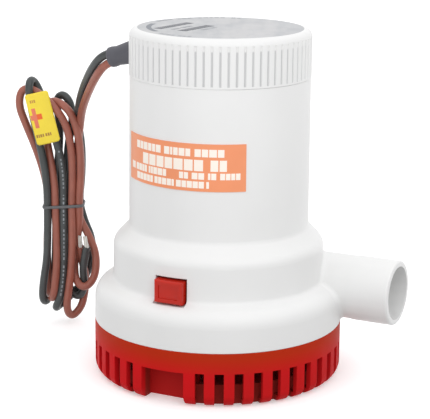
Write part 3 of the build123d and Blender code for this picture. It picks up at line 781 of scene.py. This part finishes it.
make_badge_print()


MARK_WIDTHS = (1.3, 0.9, 1.3, 1.1, 0.5, 1.3, 0.9)
MARK_GAP = 0.95
MARK_HALF = 0.34  # half a mark's height, across the wire
MARK_WORD = 9  # every ninth mark is left out
MARK_FACING = Vector((0.12, -1, 0.0))


def is_front_middle(p):
    """Is this point of the black wire on its run down the middle of the hank's front?"""
    local = p / MM - HANK
    return abs(local.x) < 2.6 and local.y < -1.4 and -46 < local.z < 33


def make_wire_print():
    """A row of small blank marks down the front of the black wire's middle run."""
    run = [0.0]
    for a, b in zip(black_line, black_line[1:]):
        run.append(run[-1] + (b - a).length / MM)
    front = [i for i, p in enumerate(black_line) if is_front_middle(p)]
    first, last = run[front[0]], run[front[-1]]

    def place(u, v, lift):
        k = max(1, min(len(run) - 1, next((i for i, r in enumerate(run) if r >= u), len(run) - 1)))
        share = (u - run[k - 1]) / max(1e-6, run[k] - run[k - 1])
        centre = black_line[k - 1].lerp(black_line[k], share)
        way = (black_line[k] - black_line[k - 1]).normalized()
        out = (MARK_FACING - way * MARK_FACING.dot(way)).normalized()
        side = way.cross(out)
        turn = v / WIRE_R
        return centre + (out * math.cos(turn) + side * math.sin(turn)) * (WIRE_R + lift) * MM

    marks = []
    at, k = first + 1.0, 0
    while at < last - 1.5:
        width = MARK_WIDTHS[k % len(MARK_WIDTHS)]
        if k % MARK_WORD != MARK_WORD - 1:
            marks.append((at, at + width, -MARK_HALF, MARK_HALF))
        at += width + MARK_GAP
        k += 1
    made = slabs("wire_marks", place, marks, 0.03, 0.7)
    return finish_piece(made, "pump", "wire_mark", smooth=False)


make_wire_print()

# ---------------------------------------------------------------- lights, world, floor

# The studio's light along each axis' size: how far along, and how bright there.
LIGHT_ALONG_Z = ((0.0, 1.14), (0.35, 1.17), (0.8, 1.2))
LIGHT_ALONG_X = ((0.0, 1.0), (0.74, 0.98), (0.95, 0.38))
LIGHT_BLUE = 1.004
FLOOR_R, FLOOR_GLOW = 12.0, 0.28
CARD_R, CARD_Z, CARD_GLOW = 0.24, -0.003, 0.34


def soft_light(name, place, aim, size, power):
    data = bpy.data.lights.new(name, "AREA")
    data.shape = "RECTANGLE"
    data.size, data.size_y = size
    data.energy = power
    light = bpy.data.objects.new(name, data)
    light.location = place
    light.rotation_mode = "QUATERNION"
    light.rotation_quaternion = (Vector(aim) - Vector(place)).to_track_quat("-Z", "Y")
    bpy.context.scene.collection.objects.link(light)


def make_world():
    """A soft white studio: a little brighter overhead, and dim at the far left and right."""
    world = bpy.data.worlds.new("studio")
    bpy.context.scene.world = world
    world.use_nodes = True
    tree = world.node_tree
    background = tree.nodes["Background"]
    place = tree.nodes.new("ShaderNodeTexCoord")
    split = tree.nodes.new("ShaderNodeSeparateXYZ")
    tree.links.new(place.outputs["Generated"], split.inputs[0])
    ramps = []
    for axis, stops in (("Z", LIGHT_ALONG_Z), ("X", LIGHT_ALONG_X)):
        size = tree.nodes.new("ShaderNodeMath")
        size.operation = "ABSOLUTE"
        tree.links.new(split.outputs[axis], size.inputs[0])
        ramp = tree.nodes.new("ShaderNodeValToRGB")
        tree.links.new(size.outputs[0], ramp.inputs[0])
        elements = ramp.color_ramp.elements
        elements.new(stops[1][0])
        for element, (position, light) in zip(elements, stops):
            element.position = position
            element.color = (light, light, light * LIGHT_BLUE, 1)
        ramps.append(ramp)
    both = tree.nodes.new("ShaderNodeMix")
    both.data_type = "RGBA"
    both.blend_type = "MULTIPLY"
    both.inputs[0].default_value = 1.0
    tree.links.new(ramps[0].outputs[0], both.inputs[6])
    tree.links.new(ramps[1].outputs[0], both.inputs[7])
    tree.links.new(both.outputs[2], background.inputs["Color"])
    background.inputs["Strength"].default_value = 1.0


def disc(name, radius, height):
    data = bpy.data.meshes.new(name)
    maker = bmesh.new()
    bmesh.ops.create_circle(maker, cap_ends=True, segments=96, radius=radius)
    maker.to_mesh(data)
    maker.free()
    made = bpy.data.objects.new(name, data)
    made.location.z = height
    bpy.context.scene.collection.objects.link(made)
    return made


def glow(shader, strength):
    shader.bsdf.inputs["Emission Color"].default_value = (1, 1, 1, 1)
    shader.bsdf.inputs["Emission Strength"].default_value = strength
    return shader.material


def make_floor():
    """A white floor, and under it a dim card, out of sight, that sets how much light comes back up."""
    floor = disc("floor", FLOOR_R, 0.0)
    paint = plastic("floor_paint", (0.93, 0.93, 0.93), 0.8, 0.004, 0.0, Specular_IOR_Level=0.2)
    floor.data.materials.append(glow(paint, FLOOR_GLOW))
    floor.visible_diffuse = False
    floor.visible_shadow = False
    card = disc("bounce_card", CARD_R, CARD_Z)
    grey = plastic("card_grey", (0.02, 0.02, 0.02), 0.9, 0.01, 0.0, Specular_IOR_Level=0.0)
    card.data.materials.append(glow(grey, CARD_GLOW))
    card.visible_camera = False
    card.visible_glossy = False
    card.visible_shadow = False


make_world()
make_floor()
soft_light("key", (0.5, -0.8, 0.9), (0, 0, 0.08), (0.5, 0.5), 1.2)
bpy.context.scene.view_settings.view_transform = "Standard"
